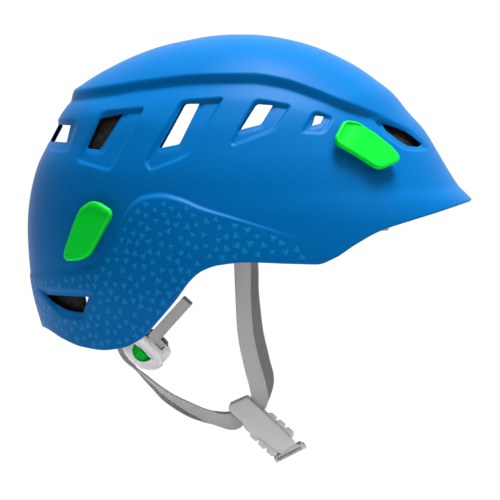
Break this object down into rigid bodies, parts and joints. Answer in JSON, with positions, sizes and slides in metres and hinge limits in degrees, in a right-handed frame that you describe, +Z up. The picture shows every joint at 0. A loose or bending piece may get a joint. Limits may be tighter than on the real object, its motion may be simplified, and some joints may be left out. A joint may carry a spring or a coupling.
{
  "type": "climbing helmet",
  "caption": "Child's climbing helmet: vented shell with short brim, foam liner, headlamp clips, nape adjuster wheel and chin harness with side-release buckle.",
  "frame": {"origin": "where the crown of the head meets the crown pad", "axes": "+X forward to the brim, +Y to the wearer's left, +Z up"},
  "size_m": [0.2635, 0.194, 0.2541],
  "materials": {
    "shell_plastic": "satin blue moulded ABS",
    "liner_foam": "black moulded bead foam",
    "clip_plastic": "satin bright green",
    "wheel_plastic": "satin bright green, knurled",
    "grey_plastic": "satin light grey nylon",
    "webbing": "flat woven polyester webbing, grey",
    "pad_fabric": "dark grey brushed knit over foam",
    "pin_steel": "plain steel"
  },
  "bodies": {
    "helmet": {"outer_shell": "shell_plastic", "foam_liner": "liner_foam", "crown_pad": "pad_fabric", "brow_pad": "pad_fabric", "rear_pad": "pad_fabric", "temple_pad_right": "pad_fabric", "temple_pad_left": "pad_fabric", "clip_base_front_right": "shell_plastic", "clip_base_front_left": "shell_plastic", "clip_base_rear_right": "shell_plastic", "clip_base_rear_left": "shell_plastic", "clip_pin_front_right": "pin_steel", "clip_pin_front_left": "pin_steel", "clip_pin_rear_right": "pin_steel", "clip_pin_rear_left": "pin_steel", "strap_anchor_front_right": "grey_plastic", "strap_anchor_front_left": "grey_plastic", "strap_anchor_rear_right": "grey_plastic", "strap_anchor_rear_left": "grey_plastic", "front_strap_right": "webbing", "front_strap_left": "webbing", "rear_strap_right": "webbing", "rear_strap_left": "webbing", "buckle_body": "grey_plastic", "strap_junction_left": "grey_plastic", "chin_strap": "webbing", "cradle_bracket": "grey_plastic", "cradle_pivot_pin": "pin_steel"},
    "nape_unit": {"nape_cradle": "grey_plastic", "adjuster_cover": "grey_plastic", "nape_pad": "pad_fabric", "adjuster_axle": "pin_steel"},
    "wheel_unit": {"adjuster_wheel": "wheel_plastic", "adjuster_pinion": "grey_plastic"},
    "band_right": {"nape_band_right": "grey_plastic"},
    "band_left": {"nape_band_left": "grey_plastic"},
    "plug": {"buckle_plug": "grey_plastic"},
    "arm_upper": {"release_arm_upper": "grey_plastic"},
    "arm_lower": {"release_arm_lower": "grey_plastic"},
    "adjuster_slide": {"chin_adjuster": "grey_plastic"},
    "clip_front_right_lever": {"clip_front_right": "clip_plastic"},
    "clip_front_left_lever": {"clip_front_left": "clip_plastic"},
    "clip_rear_right_lever": {"clip_rear_right": "clip_plastic"},
    "clip_rear_left_lever": {"clip_rear_left": "clip_plastic"}
  },
  "joints": [
    {"name": "clip_front_right_hinge", "type": "hinge", "parent": "helmet", "child": "clip_front_right_lever", "pos_m": [0.08499, -0.06698, -0.04778], "axis": [0.48, 0.6234, 0.6172], "range_deg": [0, 18], "stiffness_Nm_per_rad": 0.05},
    {"name": "clip_front_left_hinge", "type": "hinge", "parent": "helmet", "child": "clip_front_left_lever", "pos_m": [0.08499, 0.06698, -0.04778], "axis": [-0.48, 0.6234, -0.6172], "range_deg": [0, 18], "stiffness_Nm_per_rad": 0.05},
    {"name": "clip_rear_right_hinge", "type": "hinge", "parent": "helmet", "child": "clip_rear_right_lever", "pos_m": [-0.08472, -0.07389, -0.07673], "axis": [-0.7563, 0.5632, 0.3328], "range_deg": [0, 18], "stiffness_Nm_per_rad": 0.05},
    {"name": "clip_rear_left_hinge", "type": "hinge", "parent": "helmet", "child": "clip_rear_left_lever", "pos_m": [-0.08472, 0.07389, -0.07673], "axis": [0.7563, 0.5632, -0.3328], "range_deg": [0, 18], "stiffness_Nm_per_rad": 0.05},
    {"name": "nape_tilt", "type": "hinge", "parent": "helmet", "child": "nape_unit", "pos_m": [-0.0911, 0, -0.121], "axis": [0, 1, 0], "range_deg": [-8, 12]},
    {"name": "wheel_turn", "type": "hinge", "parent": "nape_unit", "child": "wheel_unit", "pos_m": [-0.0546, 0, -0.156], "axis": [0.6691, 0, 0.7431], "range_deg": [-125, 150]},
    {"name": "band_right_turn", "type": "hinge", "parent": "nape_unit", "child": "band_right", "pos_m": [-0.01311, 0, -0.10992], "axis": [0.7431, 0, -0.6691], "range_deg": [-9.2, 11]},
    {"name": "band_left_turn", "type": "hinge", "parent": "nape_unit", "child": "band_left", "pos_m": [-0.01311, 0, -0.10992], "axis": [0.7431, 0, -0.6691], "range_deg": [-11, 9.2]},
    {"name": "buckle_slide", "type": "slide", "parent": "helmet", "child": "plug", "axis": [0.7431, 0, -0.6691], "range_m": [0, 0.024], "deforming": ["chin_strap"]},
    {"name": "arm_upper_press", "type": "hinge", "parent": "plug", "child": "arm_upper", "pos_m": [0.02899, -0.0575, -0.21117], "axis": [0, 1, 0], "range_deg": [0, 5], "stiffness_Nm_per_rad": 0.1},
    {"name": "arm_lower_press", "type": "hinge", "parent": "plug", "child": "arm_lower", "pos_m": [0.02284, -0.0575, -0.218], "axis": [0, -1, 0], "range_deg": [0, 5], "stiffness_Nm_per_rad": 0.1},
    {"name": "chin_adjuster_slide", "type": "slide", "parent": "helmet", "child": "adjuster_slide", "axis": [0, 1, 0], "range_m": [-0.012, 0.006]}
  ],
  "couplings": [
    {"joint": "band_right_turn", "follows": "wheel_turn", "ratio": 0.072581},
    {"joint": "band_left_turn", "follows": "wheel_turn", "ratio": -0.072581},
    {"joint": "arm_lower_press", "follows": "arm_upper_press", "ratio": 1}
  ]
}
